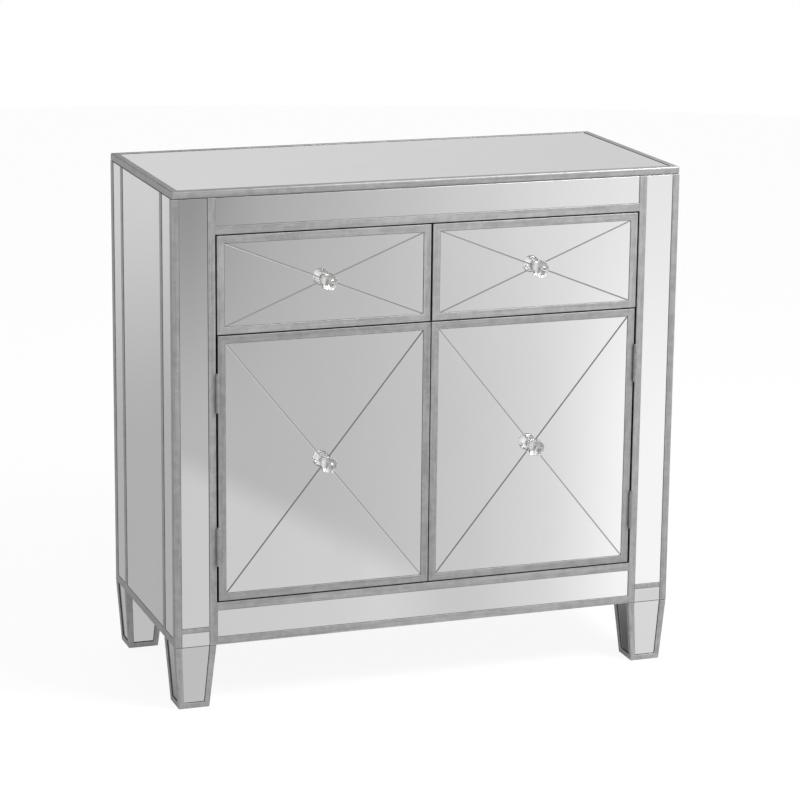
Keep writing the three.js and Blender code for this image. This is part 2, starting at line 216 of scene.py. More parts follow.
def silver_paint(name, marks, worn=False, shade=None, tone=1.0):
    """Brushed-on silver paint over wood. marks(tree, where) gives the brush marks' coordinates,
    shade(tree, where) how much painted shade darkens a hollow, and tone how light the paint is: a
    tone under 1 stands for painted shade. Worn paint, as on edges, is lighter and duller, and
    chipped here and there."""
    material, tree, shader, here = new_material(name, Metallic=0.62, IOR=1.5)
    strokes = noise(tree, marks(tree, here), 620, 4, 0.62)
    broad = noise(tree, marks(tree, here), 150, 2, 0.5)
    blotches = noise(tree, here, 80, 4, 0.6)
    flakes = noise(tree, here, 2400, 1, 0.5)
    fine_share, broad_share = calc(tree, "MULTIPLY", strokes, 0.6), calc(tree, "MULTIPLY", broad, 0.4)
    both = calc(tree, "ADD", fine_share, broad_share)
    if worn:
        tone *= 1.07
    dark, light = grey(0.33 * tone), grey(0.51 * tone)
    brushed = mix(tree, ramp(tree, both, 0.36, 0.64), dark, light)
    dabbed = mix(tree, ramp(tree, blotches, 0.38, 0.62), dark, light)
    paint = mix(tree, 0.35, brushed, dabbed)
    paint = mix(tree, ramp(tree, flakes, 0.6, 0.8, 0.0, 0.35), paint, grey(0.62 * tone))
    if worn:
        chips = ramp(tree, noise(tree, here, 210, 3, 0.65), 0.66, 0.7, 0.0, 0.8)
        paint = mix(tree, chips, paint, (0.22, 0.2, 0.18, 1))
    # Painted shade: hollows are darkened toward near black.
    if shade is not None:
        paint = mix(tree, shade(tree, here), paint, grey(0.03))
    feed(tree, shader.inputs["Base Color"], paint)
    smoothest = 0.48 if worn else 0.30
    feed(tree, shader.inputs["Roughness"], ramp(tree, broad, 0.3, 0.7, smoothest, smoothest + 0.13))
    fine = bump(tree, strokes, 0.08 * MM, 0.7)
    feed(tree, shader.inputs["Normal"], bump(tree, flakes, 0.01 * MM, 0.35, fine))
    return material


# How light the flanks of a V groove are: of one that rises to the right, and of one that falls. Real
# glass has no such difference. It stands for reflections, and is fitted to the photograph.
DOOR_GROOVES = (0.26, 0.63)
DRAWER_GROOVES = (0.60, 0.57)


def mirror_glass(name, rising, falling):
    """Silvered glass with the faint smears that cleaning leaves. rising and falling say how light
    its two grooves' ground flanks are: partly their ground finish, partly painted reflection."""
    material, tree, shader, here = new_material(name, Metallic=1.0)
    smear = noise(tree, vector_calc(tree, "MULTIPLY", here, (1, 1, 0.35)), 11, 4, 0.6)
    specks = noise(tree, here, 900, 1, 0.4)
    tint = mix(tree, ramp(tree, smear, 0.3, 0.75), grey(0.885), (0.865, 0.868, 0.866, 1))
    tint = mix(tree, ramp(tree, specks, 0.74, 0.8, 0.0, 0.35), tint, grey(0.6))
    # The ground flanks of the V grooves lean about 14 to 22 degrees from the face of the glass.
    normal = node(tree, "SeparateXYZ", Vector=node(tree, "TexCoord").outputs["Normal"]).outputs
    flank = ramp(tree, normal[1], -0.985, -0.97)
    flank = calc(tree, "MULTIPLY", flank, ramp(tree, normal[1], -0.93, -0.92, 1, 0))
    falls = ramp(tree, calc(tree, "MULTIPLY", normal[0], normal[2]), -0.001, 0.001)
    # Painted reflection: the flanks' colour differs by which way the groove runs, standing for what
    # they reflect.
    ground = mix(tree, falls, grey(rising), grey(falling))
    feed(tree, shader.inputs["Base Color"], mix(tree, flank, tint, ground))
    polished = ramp(tree, smear, 0.35, 0.8, 0.012, 0.045)
    unpolished = calc(tree, "MULTIPLY", flank, 0.16)
    feed(tree, shader.inputs["Roughness"], calc(tree, "MAXIMUM", polished, unpolished))
    wave = noise(tree, here, 7, 1, 0.4)
    feed(tree, shader.inputs["Normal"], bump(tree, wave, 0.03 * MM, 0.4))
    return material


def glass_edge(name):
    """The ground edge of a mirror, a little green."""
    material, tree, shader, here = new_material(name, Metallic=0.75)
    grind = noise(tree, here, 1500, 2, 0.6)
    colour = mix(tree, grind, (0.28, 0.31, 0.30, 1), (0.42, 0.45, 0.44, 1))
    feed(tree, shader.inputs["Base Color"], colour)
    feed(tree, shader.inputs["Roughness"], ramp(tree, grind, 0.3, 0.7, 0.25, 0.42))
    return material


def inside_paint(name):
    """Plain grey sprayed paint on fibreboard, with orange peel and a little dust."""
    material, tree, shader, here = new_material(name, Metallic=0.15)
    peel = noise(tree, here, 420, 2, 0.5)
    cloud = noise(tree, here, 8, 3, 0.6)
    dust = noise(tree, here, 1300, 1, 0.5)
    colour = mix(tree, ramp(tree, cloud, 0.3, 0.7), grey(0.44), grey(0.53))
    colour = mix(tree, ramp(tree, dust, 0.68, 0.76, 0.0, 0.4), colour, grey(0.62))
    feed(tree, shader.inputs["Base Color"], colour)
    feed(tree, shader.inputs["Roughness"], ramp(tree, peel, 0.3, 0.7, 0.5, 0.66))
    feed(tree, shader.inputs["Normal"], bump(tree, peel, 0.08 * MM, 0.5))
    return material


def pale_wood(name, axis):
    """Lacquered pale timber whose grain runs along one axis."""
    material, tree, shader, here = new_material(name, IOR=1.48)
    stretched = along(tree, here, axis, 0.07)
    waves = node(tree, "TexNoise", Vector=stretched, Scale=22.0, Detail=2.0).outputs["Color"]
    waves = vector_calc(tree, "MULTIPLY", waves, (0.02, 0.02, 0.02))
    warped = vector_calc(tree, "ADD", stretched, waves)
    rings = noise(tree, warped, 75, 3, 0.55)
    pores = noise(tree, along(tree, here, axis, 0.03), 1500, 2, 0.6)
    wood = mix(tree, ramp(tree, rings, 0.32, 0.68), (0.60, 0.43, 0.26, 1), (0.76, 0.60, 0.40, 1))
    wood = mix(tree, ramp(tree, pores, 0.62, 0.72, 0.0, 0.5), wood, (0.42, 0.28, 0.16, 1))
    feed(tree, shader.inputs["Base Color"], wood)
    feed(tree, shader.inputs["Roughness"], ramp(tree, rings, 0.3, 0.7, 0.38, 0.55))
    feed(tree, shader.inputs["Normal"], bump(tree, pores, 0.06 * MM, 0.5))
    return material


def hardboard(name):
    """Grey painted hardboard, with the screen weave of its rough side."""
    material, tree, shader, here = new_material(name)
    parts = node(tree, "SeparateXYZ", Vector=here).outputs
    mesh_width = 1.6 * MM
    per_metre = 2 * math.pi / mesh_width
    waves = [calc(tree, "SINE", calc(tree, "MULTIPLY", parts[i], per_metre)) for i in (0, 2)]
    weave = calc(tree, "MULTIPLY", waves[0], waves[1])
    fibres = noise(tree, here, 300, 4, 0.7)
    colour = mix(tree, ramp(tree, fibres, 0.3, 0.7), grey(0.20), grey(0.29))
    colour = mix(tree, ramp(tree, weave, 0.2, 1.0, 0.0, 0.25), colour, grey(0.15))
    feed(tree, shader.inputs["Base Color"], colour)
    feed(tree, shader.inputs["Roughness"], ramp(tree, fibres, 0.3, 0.7, 0.68, 0.85))
    feed(tree, shader.inputs["Normal"], bump(tree, weave, 0.08 * MM, 0.6))
    return material


def crystal(name):
    """Clear cut crystal. Real crystal bends light more; this is clearer, as the photograph's is."""
    material, tree, shader, here = new_material(name, IOR=1.32)
    shader.inputs["Transmission Weight"].default_value = 1.0
    haze = noise(tree, here, 160, 3, 0.6)
    feed(tree, shader.inputs["Base Color"], mix(tree, haze, (0.97, 0.985, 0.985, 1), (1, 1, 1, 1)))
    feed(tree, shader.inputs["Roughness"], ramp(tree, haze, 0.45, 0.8, 0.0, 0.03))
    return material


def crystal_glint(name):
    """A metal stand-in for the sparkle along the edges between the facets of cut crystal."""
    material, tree, shader, here = new_material(name, Metallic=1.0)
    polish = noise(tree, here, 900, 2, 0.5)
    feed(tree, shader.inputs["Base Color"], mix(tree, polish, grey(0.72), grey(0.88)))
    feed(tree, shader.inputs["Roughness"], ramp(tree, polish, 0.3, 0.7, 0.02, 0.10))
    return material


def turned_metal(name, colour, rough, depth):
    """Turned or drawn metal with fine tool marks."""
    material, tree, shader, here = new_material(name, Metallic=1.0)
    marks = noise(tree, along(tree, here, "y", 6.0), 700, 2, 0.6)
    cloud = noise(tree, here, 90, 2, 0.5)
    dark = tuple(c * 0.72 for c in colour[:3]) + (1,)
    feed(tree, shader.inputs["Base Color"], mix(tree, ramp(tree, cloud, 0.3, 0.7), dark, colour))
    feed(tree, shader.inputs["Roughness"], ramp(tree, marks, 0.3, 0.7, rough * 0.7, rough * 1.4))
    feed(tree, shader.inputs["Normal"], bump(tree, marks, depth, 0.5))
    return material


def moulded_plastic(name, light, dark, rough):
    """Moulded plastic with a fine spark-eroded texture."""
    material, tree, shader, here = new_material(name, IOR=1.46)
    grain = noise(tree, here, 1800, 2, 0.6)
    cloud = noise(tree, here, 60, 2, 0.5)
    feed(tree, shader.inputs["Base Color"], mix(tree, ramp(tree, cloud, 0.3, 0.7), dark, light))
    feed(tree, shader.inputs["Roughness"], ramp(tree, grain, 0.3, 0.7, rough * 0.85, rough * 1.15))
    feed(tree, shader.inputs["Normal"], bump(tree, grain, 0.03 * MM, 0.5))
    return material


MIRROR = mirror_glass("mirror", *DOOR_GROOVES)
DRAWER_MIRROR = mirror_glass("drawer_mirror", *DRAWER_GROOVES)
MIRROR_EDGE = glass_edge("mirror_edge")
INSIDE = inside_paint("inside_paint")
HARDBOARD = hardboard("hardboard")
CRYSTAL = crystal("crystal")
GLINT = crystal_glint("crystal_glint")
NICKEL = turned_metal("nickel", (0.84, 0.83, 0.81, 1), 0.16, 0.02 * MM)
STEEL = turned_metal("zinc_steel", (0.50, 0.51, 0.53, 1), 0.30, 0.03 * MM)
CATCH = moulded_plastic("catch_plastic", (0.78, 0.77, 0.72, 1), (0.70, 0.69, 0.65, 1), 0.45)
GLIDE = moulded_plastic("glide_plastic", (0.10, 0.10, 0.10, 1), (0.06, 0.06, 0.06, 1), 0.55)
WOOD = {axis: pale_wood("pale_wood_" + axis, axis) for axis in "xy"}
PAINT = silver_paint("silver_paint", brushed_along("z"))
# Painted shade: the hinges' paint is darker than the case's, standing for the shade on them.
HINGE_PAINT = silver_paint("hinge_paint", brushed_along("z"), tone=0.74)
# Painted shade: the hinges' softened edges are made far darker, standing for the shade along them;
# their chips are wear.
HINGE_EDGE_SHADE = silver_paint("hinge_edge_shade", brushed_along("z"), worn=True, tone=0.30)
# Painted shade: the walls of the legs' mirror pockets are darkened far toward black, standing for the
# shade in them.
SHADED_POCKET = silver_paint("silver_pocket_shade", brushed_along("z"), shade=lambda *_: 0.75)
WORN = {axis: silver_paint("silver_worn_" + axis, brushed_along(axis), worn=True) for axis in "xz"}


def brushed_paint(name, face, axis, tone=1.0):
    """Silver paint for one CAD node, brushed along one axis, with painted shade in its mirror
    pockets and, on a front, beside its gaps. face is (axis, direction) outward.
    """
    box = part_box(name)
    return silver_paint(
        "silver_paint_" + name,
        brushed_along(axis),
        shade=lambda tree, where: sunk(tree, where, box, face),
        tone=tone,
    )


def frame_paint(name, face, across, up, tone=1.0):
    """Silver paint whose brush marks follow the mitred border of one CAD node, with painted shade
    in its mirror pockets and, on a front, beside its gaps.
    """
    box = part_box(name)
    return silver_paint(
        "silver_paint_" + name,
        lambda tree, where: framed(tree, where, box, face, across, up),
        shade=lambda tree, where: sunk(tree, where, box, face),
        tone=tone,
    )


# ---------------------------------------------------------------- CAD nodes


def dress(name, face, edge, width, limit=35):
    """Gives a CAD node its materials and softens its edges, which take the second material."""
    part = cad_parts[name]
    part.data.materials.clear()
    part.data.materials.append(face)
    part.data.materials.append(edge)
    part.modifiers.new("weld", "WELD").merge_threshold = 0.01 * MM
    flat = part.modifiers.new("flat", "DECIMATE")
    flat.decimate_type = "DISSOLVE"
    flat.angle_limit = math.radians(0.5)
    soft = part.modifiers.new("soft", "BEVEL")
    soft.width = width
    soft.segments = 2
    soft.limit_method = "ANGLE"
    soft.angle_limit = math.radians(limit)
    soft.material = 1


def dress_mirrors():
    """Every CAD node that is a mirror."""
    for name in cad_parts:
        if "mirror" in name:
            glass = DRAWER_MIRROR if name.startswith("drawer") else MIRROR
            dress(name, glass, MIRROR_EDGE, 0.4 * MM, 50)


FRONT_FACE = ("y", -1)
TOP_FACE = ("z", 1)
SIDE_FACE = {"left": ("x", -1), "right": ("x", 1)}
ARRIS = 0.5 * MM  # softened outside edges of painted pieces
# How light their paint is next to the front's: painted shade, darker where less light falls on them,
# fitted to the photograph.
TOP_TONE, SIDE_TONE, DOOR_TONE = 0.9, 0.92, 0.875


def dress_case():
    """Everything that stands still but the mirrors, the hinges and the legs."""
    top_paint = frame_paint("top_board", TOP_FACE, "x", "y", TOP_TONE)
    dress("top_board", top_paint, WORN["x"], 0.3 * MM, 50)
    for name in ("top_rail", "bottom_rail"):
        dress(name, brushed_paint(name, FRONT_FACE, "x"), WORN["x"], ARRIS)
    for side in SIDES:
        board, post = "side_board_" + side, "post_" + side
        dress(board, brushed_paint(board, SIDE_FACE[side], "z", SIDE_TONE), WORN["z"], ARRIS)
        dress(post, brushed_paint(post, FRONT_FACE, "z"), WORN["z"], ARRIS)
        dress("drawer_guide_" + side, INSIDE, INSIDE, ARRIS)
    for name in ("bottom_board", "drawer_deck", "shelf", "drawer_divider"):
        dress(name, INSIDE, INSIDE, ARRIS)
    dress("back_panel", HARDBOARD, HARDBOARD, ARRIS)
    dress("door_catch", CATCH, CATCH, 1.2 * MM)


def dress_drawers_and_doors():
    """The painted fronts and doors, and the wooden drawer boxes."""
    for side in SIDES:
        for name, tone in ((f"drawer_{side}_front", 1.0), (f"door_{side}", DOOR_TONE)):
            dress(name, frame_paint(name, FRONT_FACE, "x", "z", tone), WORN["z"], ARRIS)
        for wall in SIDES:
            dress(f"drawer_{side}_wall_{wall}", WOOD["y"], WOOD["y"], 0.8 * MM)
        dress(f"drawer_{side}_back", WOOD["x"], WOOD["x"], 0.8 * MM)
        dress(f"drawer_{side}_bottom", WOOD["x"], WOOD["x"], 0.3 * MM)


def dress_hinges():
    """Both leaves of the four hinges."""
    for side in SIDES:
        for place in ("upper", "lower"):
            for leaf in ("post", "door"):
                dress(f"hinge_{leaf}_leaf_{place}_{side}", HINGE_PAINT, HINGE_EDGE_SHADE, 0.25 * MM, 50)


# ---------------------------------------------------------------- mesh helpers


def make_piece(name, mesh, materials, body, soften=0.0, smooth=None):
    """Turns a bmesh into a named piece that rides on a body, with its edges softened."""
    bmesh.ops.recalc_face_normals(mesh, faces=mesh.faces)
    data = bpy.data.meshes.new(name)
    if smooth is not None:
        for face in mesh.faces:
            face.smooth = True
        for edge in mesh.edges:
            edge.smooth = edge.calc_face_angle(math.pi) < math.radians(smooth)
    mesh.to_mesh(data)
    mesh.free()
    piece = bpy.data.objects.new(name, data)
    bpy.context.scene.collection.objects.link(piece)
    for material in materials:
        data.materials.append(material)
    if soften:
        soft = piece.modifiers.new("soft", "BEVEL")
        soft.width = soften
        soft.segments = 2
        soft.limit_method = "ANGLE"
        soft.angle_limit = math.radians(35)
        soft.material = len(materials) - 1
    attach(piece, body)
    return piece


def add_box(mesh, low, high):
    """Adds a closed box between two corners."""
    round_it = ((low.x, low.y), (high.x, low.y), (high.x, high.y), (low.x, high.y))
    floor = [mesh.verts.new((x, y, low.z)) for x, y in round_it]
    roof = [mesh.verts.new((x, y, high.z)) for x, y in round_it]
    mesh.faces.new(floor[::-1])
    mesh.faces.new(roof)
    for i in range(4):
        j = (i + 1) % 4
        mesh.faces.new([floor[i], floor[j], roof[j], roof[i]])


def add_turned(mesh, profile, steps, place):
    """Adds a closed turned shape. profile lists (radius, reach) from axis to axis; place(x, y,
    reach) puts a point of it in the frame, with x and y measured from the shape's axis."""
    turns = [2 * math.pi * i / steps for i in range(steps)]
    rings = []
    for radius, reach in profile:
        if radius == 0:
            rings.append([mesh.verts.new(place(0, 0, reach))])
            continue
        around = [(radius * math.cos(turn), radius * math.sin(turn)) for turn in turns]
        rings.append([mesh.verts.new(place(x, y, reach)) for x, y in around])
    for near, far in zip(rings, rings[1:]):
        for i in range(steps):
            j = (i + 1) % steps
            corners = [near[i % len(near)], near[j % len(near)], far[j % len(far)], far[i % len(far)]]
            mesh.faces.new(list(dict.fromkeys(corners)))


def arc(centre, radius, start, end, steps):
    """Points of a round stretch of a profile, angles in degrees."""
    angles = [math.radians(start + (end - start) * i / steps) for i in range(steps + 1)]
    return [(centre[0] + radius * math.cos(a), centre[1] + radius * math.sin(a)) for a in angles]


# ---------------------------------------------------------------- legs

LEG_TOP = 65 * MM  # how wide a leg is under the case
LEG_OUTER_TAPER, LEG_INNER_TAPER = 6.6 * MM, 10 * MM  # how far in its foot is, outside and inside
LEG_STRIP_TOP = 10.2 * MM  # painted strip left at each upright edge of a leg
LEG_STRIP_FOOT = 8.4 * MM
LEG_BAND = 9.5 * MM  # painted band under a leg's mirrors
LEG_GLASS = 3 * MM
LEG_REVEAL = 2.2 * MM  # how deep a leg's mirrors lie behind its faces
LEG_POCKET = LEG_REVEAL + LEG_GLASS + 0.2 * MM
LEG_GLASS_GAP = 0.3 * MM
LEG_STUB_OUTER, LEG_STUB_INNER = 20.5 * MM, 1 * MM  # how far in its stub is, outside and inside
GLIDE_HEIGHT = 0.8 * MM  # clear space that the glides leave under the wood


def leg_outline(box, side, end):
    """The four upright edges of a leg as (bottom point, top point), going round it."""
    low, high = box
    outer_x = low.x if side == "left" else high.x
    outer_y = low.y if end == "front" else high.y
    sign_x = 1 if side == "left" else -1
    sign_y = 1 if end == "front" else -1
    # Outer and inner edge, each as (how far in at the foot, how far in at the top).
    near, far = (LEG_OUTER_TAPER, 0.0), (LEG_TOP - LEG_INNER_TAPER, LEG_TOP)
    seam = leg_seam_height()
    edges = []
    for u, v in ((near, near), (far, near), (far, far), (near, far)):
        bottom = Vector((outer_x + sign_x * u[0], outer_y + sign_y * v[0], 0))
        top = Vector((outer_x + sign_x * u[1], outer_y + sign_y * v[1], seam))
        edges.append((bottom, top))
    return edges


def leg_seam_height():
    """Top of the visible part of a leg, just under the case."""
    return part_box("bottom_rail")[0].z - 0.75 * MM


def leg_panel(edges, i, gap, depth):
    """Outline of the mirror pocket on face i of a leg, drawn in by gap and sunk by depth: the two
    points at the foot, then the two at the top."""
    (bottom_a, top_a), (bottom_b, top_b) = edges[i], edges[(i + 1) % 4]
    across = (top_b - top_a).normalized()
    middle = sum((e[1] for e in edges), Vector()) / 4
    inward = across.cross(Vector((0, 0, 1)))
    if inward.dot(middle - top_a) < 0:
        inward = -inward
    share = (LEG_BAND + gap) / top_a.z
    foot_inset = across * (LEG_STRIP_FOOT + gap)
    top_inset = across * (LEG_STRIP_TOP + gap)
    low_a = bottom_a.lerp(top_a, share) + foot_inset + inward * depth
    low_b = bottom_b.lerp(top_b, share) - foot_inset + inward * depth
    high_a = top_a + top_inset + inward * depth
    high_b = top_b - top_inset + inward * depth
    return low_a, low_b, high_a, high_b


def add_leg_stub(mesh, box, side, end, bottom):
    """Adds the square stub that carries a leg up inside the case."""
    low, high = box
    stub_low, stub_high = Vector((0, 0, bottom)), Vector((0, 0, high.z))
    if side == "left":
        stub_low.x, stub_high.x = low.x + LEG_STUB_OUTER, high.x - LEG_STUB_INNER
    else:
        stub_low.x, stub_high.x = low.x + LEG_STUB_INNER, high.x - LEG_STUB_OUTER
    if end == "front":
        stub_low.y, stub_high.y = low.y + LEG_STUB_OUTER, high.y - LEG_STUB_INNER
    else:
        stub_low.y, stub_high.y = low.y + LEG_STUB_INNER, high.y - LEG_STUB_OUTER
    add_box(mesh, stub_low, stub_high)


def leg_body(name, side, end):
    """A tapered leg with a pocket in each face, and its stub. Gives the leg's upright edges."""
    node_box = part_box(name)
    edges = leg_outline(node_box, side, end)
    mesh = bmesh.new()
    foot = [mesh.verts.new(bottom + Vector((0, 0, GLIDE_HEIGHT))) for bottom, _ in edges]
    head = [mesh.verts.new(top) for _, top in edges]
    crown = []
    for i in range(4):
        j = (i + 1) % 4
        outer = [mesh.verts.new(p) for p in leg_panel(edges, i, 0, 0)]
        inner = [mesh.verts.new(p) for p in leg_panel(edges, i, 0, LEG_POCKET)]
        mesh.faces.new([head[i], outer[2], outer[0], foot[i]])
        mesh.faces.new([foot[i], outer[0], outer[1], foot[j]])
        mesh.faces.new([foot[j], outer[1], outer[3], head[j]])
        hollow = [
            [outer[2], inner[2], inner[0], outer[0]],
            [outer[0], inner[0], inner[1], outer[1]],
            [outer[1], inner[1], inner[3], outer[3]],
            [inner[2], inner[3], inner[1], inner[0]],
        ]
        # The pocket's walls take the second material, which is darkened as painted shade.
        for corners in hollow:
            mesh.faces.new(corners).material_index = 1
        crown += [head[i], outer[2], inner[2], inner[3], outer[3]]
    mesh.faces.new(crown)
    mesh.faces.new(foot)
    add_leg_stub(mesh, node_box, side, end, leg_seam_height() - 2 * MM)
    materials = [PAINT, SHADED_POCKET, WORN["z"]]
    piece = make_piece(name + "_wood", mesh, materials, "case", 0.8 * MM)
    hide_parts(name)
    return edges


def leg_mirror(name, edges, i):
    """A tapered mirror let into face i of a leg."""
    mesh = bmesh.new()
    front = [mesh.verts.new(p) for p in leg_panel(edges, i, LEG_GLASS_GAP, LEG_REVEAL)]
    back = [mesh.verts.new(p) for p in leg_panel(edges, i, LEG_GLASS_GAP, LEG_REVEAL + LEG_GLASS)]
    round_it = (0, 1, 3, 2)
    mesh.faces.new([front[k] for k in round_it])
    mesh.faces.new([back[k] for k in reversed(round_it)])
    for k, m in zip(round_it, round_it[1:] + round_it[:1]):
        mesh.faces.new([front[m], front[k], back[k], back[m]])
    make_piece(name, mesh, [MIRROR, MIRROR_EDGE], "case", 0.4 * MM)


def leg_glide(name, edges):
    """A round plastic glide nailed under a leg."""
    middle = sum((e[0] for e in edges), Vector()) / 4
    mesh = bmesh.new()
    radius, edge, buried = 10 * MM, 0.6 * MM, 3 * MM
    profile = [(0, 0)] + arc((radius - edge, edge), edge, -90, 0, 4) + [(radius, buried), (0, buried)]
    add_turned(mesh, profile, 32, lambda x, y, reach: middle + Vector((x, y, reach)))
    bmesh.ops.remove_doubles(mesh, verts=mesh.verts, dist=1e-7)
    make_piece(name, mesh, [GLIDE], "case", 0, 40)


def make_legs():
    """The four legs, each with four mirrors and a glide."""
    for side in SIDES:
        for end in ("front", "back"):
            name = f"leg_{end}_{side}"
            edges = leg_body(name, side, end)
            for i, face in enumerate("abcd"):
                leg_mirror(f"leg_mirror_{face}_{end}_{side}", edges, i)
            leg_glide(f"glide_{end}_{side}", edges)


# ---------------------------------------------------------------- knobs


def knob_foot(name, body, place):
    """Turned nickel foot: a flange, a waisted neck and the cup that holds the crystal. Its profile
    is in millimetres, as the crystal's rings are."""
    flange = [(0, 0), (6.9, 0)] + arc((6.9, 0.6), 0.6, -90, 30, 4) + [(6.2, 1.4), (5.0, 1.9)]
    neck = arc((6.8, 5.4), 3.7, 238, 180, 6) + [(3.1, 7.0), (3.8, 7.5), (3.8, 8.2), (3.2, 8.7)]
    cup = [(4.2, 9.8), (5.4, 10.9), (5.6, 11.5), (4.8, 11.5), (0, 10.4)]
    mesh = bmesh.new()
    add_turned(mesh, [(r * MM, d * MM) for r, d in flange + neck + cup], 48, place)
    make_piece(name + "_foot", mesh, [NICKEL], body, 0, 35)


def knob_crystal(name, body, place, length):
    """Cut crystal: rings of corners, each turned half a step from the last, wrapped in facets."""
    facets = 12
    behind_girdle = [(5.2, 10.6), (12.2, 14.8)]
    girdle = [(13.15, 18.6), (13.15, 21.6)]
    crown = [(10.6, 26.4), (7.2, 29.6), (4.8, length / MM)]
    mesh = bmesh.new()
    for k, (radius, reach) in enumerate(behind_girdle + girdle + crown):
        for i in range(facets):
            turn = 2 * math.pi * (i + 0.5 * (k % 2)) / facets
            x, y = radius * MM * math.cos(turn), radius * MM * math.sin(turn)
            mesh.verts.new(place(x, y, reach * MM))
    bmesh.ops.convex_hull(mesh, input=mesh.verts)
    flat = math.radians(1)
    bmesh.ops.dissolve_limit(mesh, angle_limit=flat, verts=mesh.verts, edges=mesh.edges)
    piece = make_piece(name + "_crystal", mesh, [CRYSTAL, GLINT], body, 0.25 * MM)
    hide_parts(name)


def make_knob(name, body):
    """One knob, standing out of the front at the middle of its CAD node."""
    low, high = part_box(name)
    middle_x, middle_z = (low.x + high.x) / 2, (low.z + high.z) / 2

    def place(x, y, reach):
        return Vector((middle_x + x, high.y - reach, middle_z + y))

    knob_foot(name, body, place)
    knob_crystal(name, body, place, high.y - low.y)


def make_knobs():
    """A knob on each drawer and each door."""
    for side in SIDES:
        make_knob(f"drawer_{side}_knob", f"drawer_{side}")
        make_knob(f"door_{side}_knob", f"door_{side}")


# ---------------------------------------------------------------- small hardware

HINGE_GAP = 0.4 * MM  # pin's axis to the near face of a hinge leaf
HINGE_SCREW_SPACING = 20 * MM
HINGE_SCREW_REACH = 12.5 * MM  # front of the barrel to the screws


def facing(origin, axis):
    """A place() function whose reach runs from origin along an axis such as (0, 1, 0)."""
    out = Vector(axis)
    right = out.orthogonal().normalized()
    up = out.cross(right)
    return lambda x, y, reach: origin + right * x + up * y + out * reach


def screw_head(name, origin, axis, body, radius, height):
    """A domed screw head with a round-cornered cross recess."""
    mesh = bmesh.new()
    steps = 48
    # The dome as (share of the radius, share of the height), from the recess outward.
    dome = ((0.3, 0.40), (0.55, 0.72), (0.8, 0.74), (0.93, 0.5), (1.0, 0.0))
    recess_depth, recess_end, recess_floor = 0.55, 0.6, 0.14
    place = facing(origin, axis)
    rings = []
    for share, level in dome:
        ring = []
        for i in range(steps):
            turn = 2 * math.pi * i / steps
            slot = max(0.0, math.cos(4 * turn)) ** 2
            dip = recess_depth * slot if share < recess_end else 0.0
            x, y = radius * share * math.cos(turn), radius * share * math.sin(turn)
            rise = height * max(level - dip, 0.1) if level else 0.0
            ring.append(mesh.verts.new(place(x, y, rise)))
        rings.append(ring)
    centre = mesh.verts.new(place(0, 0, height * recess_floor))
    for i in range(steps):
        j = (i + 1) % steps
        mesh.faces.new([centre, rings[0][i], rings[0][j]])
        for near, far in zip(rings, rings[1:]):
            mesh.faces.new([near[i], far[i], far[j], near[j]])
    mesh.faces.new(list(reversed(rings[-1])))
    make_piece(name, mesh, [STEEL], body, 0, 50)


def pin_head(name, origin, direction, radius):
    """The low round head at one end of a hinge pin."""
    rim = [(0, 0), (0.86 * radius, 0), (0.9 * radius, 0.5 * MM)]
    crown = [(0.6 * radius, 1.0 * MM), (0, 1.2 * MM)]
    mesh = bmesh.new()
    add_turned(mesh, rim + crown, 24, facing(origin, (0, 0, direction)))
    make_piece(name, mesh, [HINGE_PAINT], "case", 0, 50)


def make_hinge_details():
    """Pin heads on each hinge, and the three flush screws in each leaf."""
    for side, outward in (("left", -1), ("right", 1)):
        for place in ("upper", "lower"):
            low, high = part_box(f"hinge_post_leaf_{place}_{side}")
            door_low, door_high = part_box(f"hinge_door_leaf_{place}_{side}")
            axis_x = (low.x + high.x + door_low.x + door_high.x) / 4
            radius = (max(high.x, door_high.x) - min(low.x, door_low.x)) / 2
            middle = (low.z + high.z) / 2
            for tag, direction, level in (("bottom", -1, low.z), ("top", 1, high.z)):
                origin = Vector((axis_x, low.y + radius, level))
                pin_head(f"hinge_pin_{tag}_{place}_{side}", origin, direction, radius)
            # Each leaf as (name, body, which way it lies from the axis). Its screws face back to it.
            leaves = (("post", "case", outward), ("door", "door_" + side, -outward))
            for leaf, body, lies_toward in leaves:
                face_x = axis_x + lies_toward * HINGE_GAP
                for letter, step in (("a", -1), ("b", 0), ("c", 1)):
                    height = middle + step * HINGE_SCREW_SPACING
                    origin = Vector((face_x, low.y + HINGE_SCREW_REACH, height))
                    name = f"hinge_screw_{leaf}_{letter}_{place}_{side}"
                    screw_head(name, origin, (-lies_toward, 0, 0), body, 2.7 * MM, 0.3 * MM)


def make_back_nails():
    """Flat-headed nails that hold the back panel round its edge."""
    low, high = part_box("back_panel")
    inset, radius = 7 * MM, 2.3 * MM
    profile = [(0, 0), (radius, 0), (radius, 0.25 * MM), (radius * 0.7, 0.5 * MM), (0, 0.6 * MM)]
    across, up = 8, 7  # spaces between nails
    left, right = low.x + inset, high.x - inset
    bottom, top = low.z + inset, high.z - inset
    places = []
    for i in range(across + 1):
        x = left + (right - left) * i / across
        places += [(x, bottom), (x, top)]
    for i in range(1, up):
        z = bottom + (top - bottom) * i / up
        places += [(left, z), (right, z)]
    mesh = bmesh.new()
    for x, z in places:
        add_turned(mesh, profile, 16, facing(Vector((x, high.y, z)), (0, 1, 0)))
    make_piece("back_nails", mesh, [STEEL], "case", 0, 40)


def make_knob_screws(side):
    """The screw that holds each knob, behind its front."""
    for front, knob, body in (
        (f"drawer_{side}_front", f"drawer_{side}_knob", f"drawer_{side}"),
        (f"door_{side}", f"door_{side}_knob", f"door_{side}"),
    ):
        low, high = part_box(knob)
        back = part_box(front)[1].y
        origin = Vector(((low.x + high.x) / 2, back, (low.z + high.z) / 2))
        screw_head(knob + "_screw", origin, (0, 1, 0), body, 4 * MM, 2.2 * MM)


